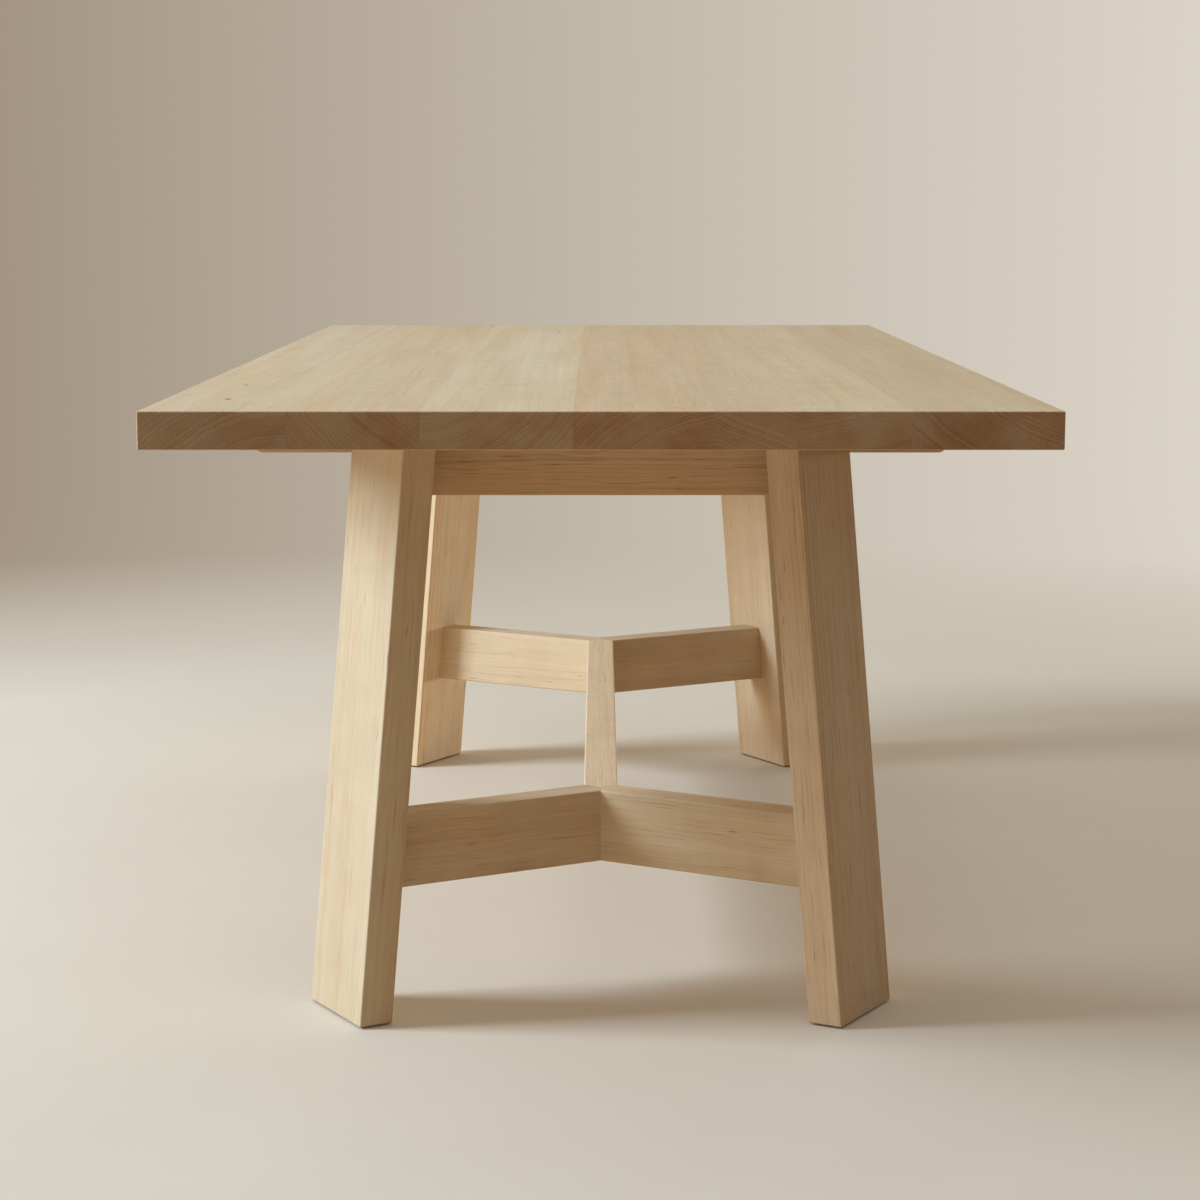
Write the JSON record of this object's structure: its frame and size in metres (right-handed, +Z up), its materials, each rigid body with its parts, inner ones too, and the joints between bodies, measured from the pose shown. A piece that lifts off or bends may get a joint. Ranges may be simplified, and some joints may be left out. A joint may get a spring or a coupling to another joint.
{
  "type": "four-leg dining table",
  "caption": "Rectangular solid wood dining table on splayed plank legs, with end aprons, bearers under the top and a low stretcher that forks to the legs at both ends.",
  "frame": {"origin": "on the floor, below the middle of the top", "axes": "+Z up, +Y along the length of the table away from the pictured end, +X across it to the right"},
  "size_m": [1, 2.2, 0.76],
  "materials": {
    "top_wood": "pale maple, clear matt oil",
    "base_wood": "pale maple, clear matt oil",
    "tenon_wood": "bare beech",
    "fastener_steel": "zinc plated",
    "insert_brass": "plain",
    "glide_nylon": "dark nylon"
  },
  "bodies": {
    "root": {"apron_dowels": "tenon_wood", "apron_front": "base_wood", "apron_rear": "base_wood", "apron_tenons": "tenon_wood", "arm_front_left": "base_wood", "arm_front_right": "base_wood", "arm_rear_left": "base_wood", "arm_rear_right": "base_wood", "arm_tenons": "tenon_wood", "bearer_front": "base_wood", "bearer_rear": "base_wood", "bearer_screws_front": "fastener_steel", "bearer_screws_rear": "fastener_steel", "bearer_washers_front": "fastener_steel", "bearer_washers_rear": "fastener_steel", "centre_stretcher": "base_wood", "foot_glide_front_left": "glide_nylon", "foot_glide_front_right": "glide_nylon", "foot_glide_rear_left": "glide_nylon", "foot_glide_rear_right": "glide_nylon", "glide_screws": "fastener_steel", "hub_tenons": "tenon_wood", "leg_bolt_washers": "fastener_steel", "leg_bolts": "fastener_steel", "leg_front_left": "base_wood", "leg_front_right": "base_wood", "leg_inserts": "insert_brass", "leg_rear_left": "base_wood", "leg_rear_right": "base_wood", "top_board_1": "top_wood", "top_board_2": "top_wood", "top_board_3": "top_wood", "top_board_4": "top_wood", "top_board_5": "top_wood", "top_board_6": "top_wood", "top_board_7": "top_wood"}
  },
  "joints": []
}
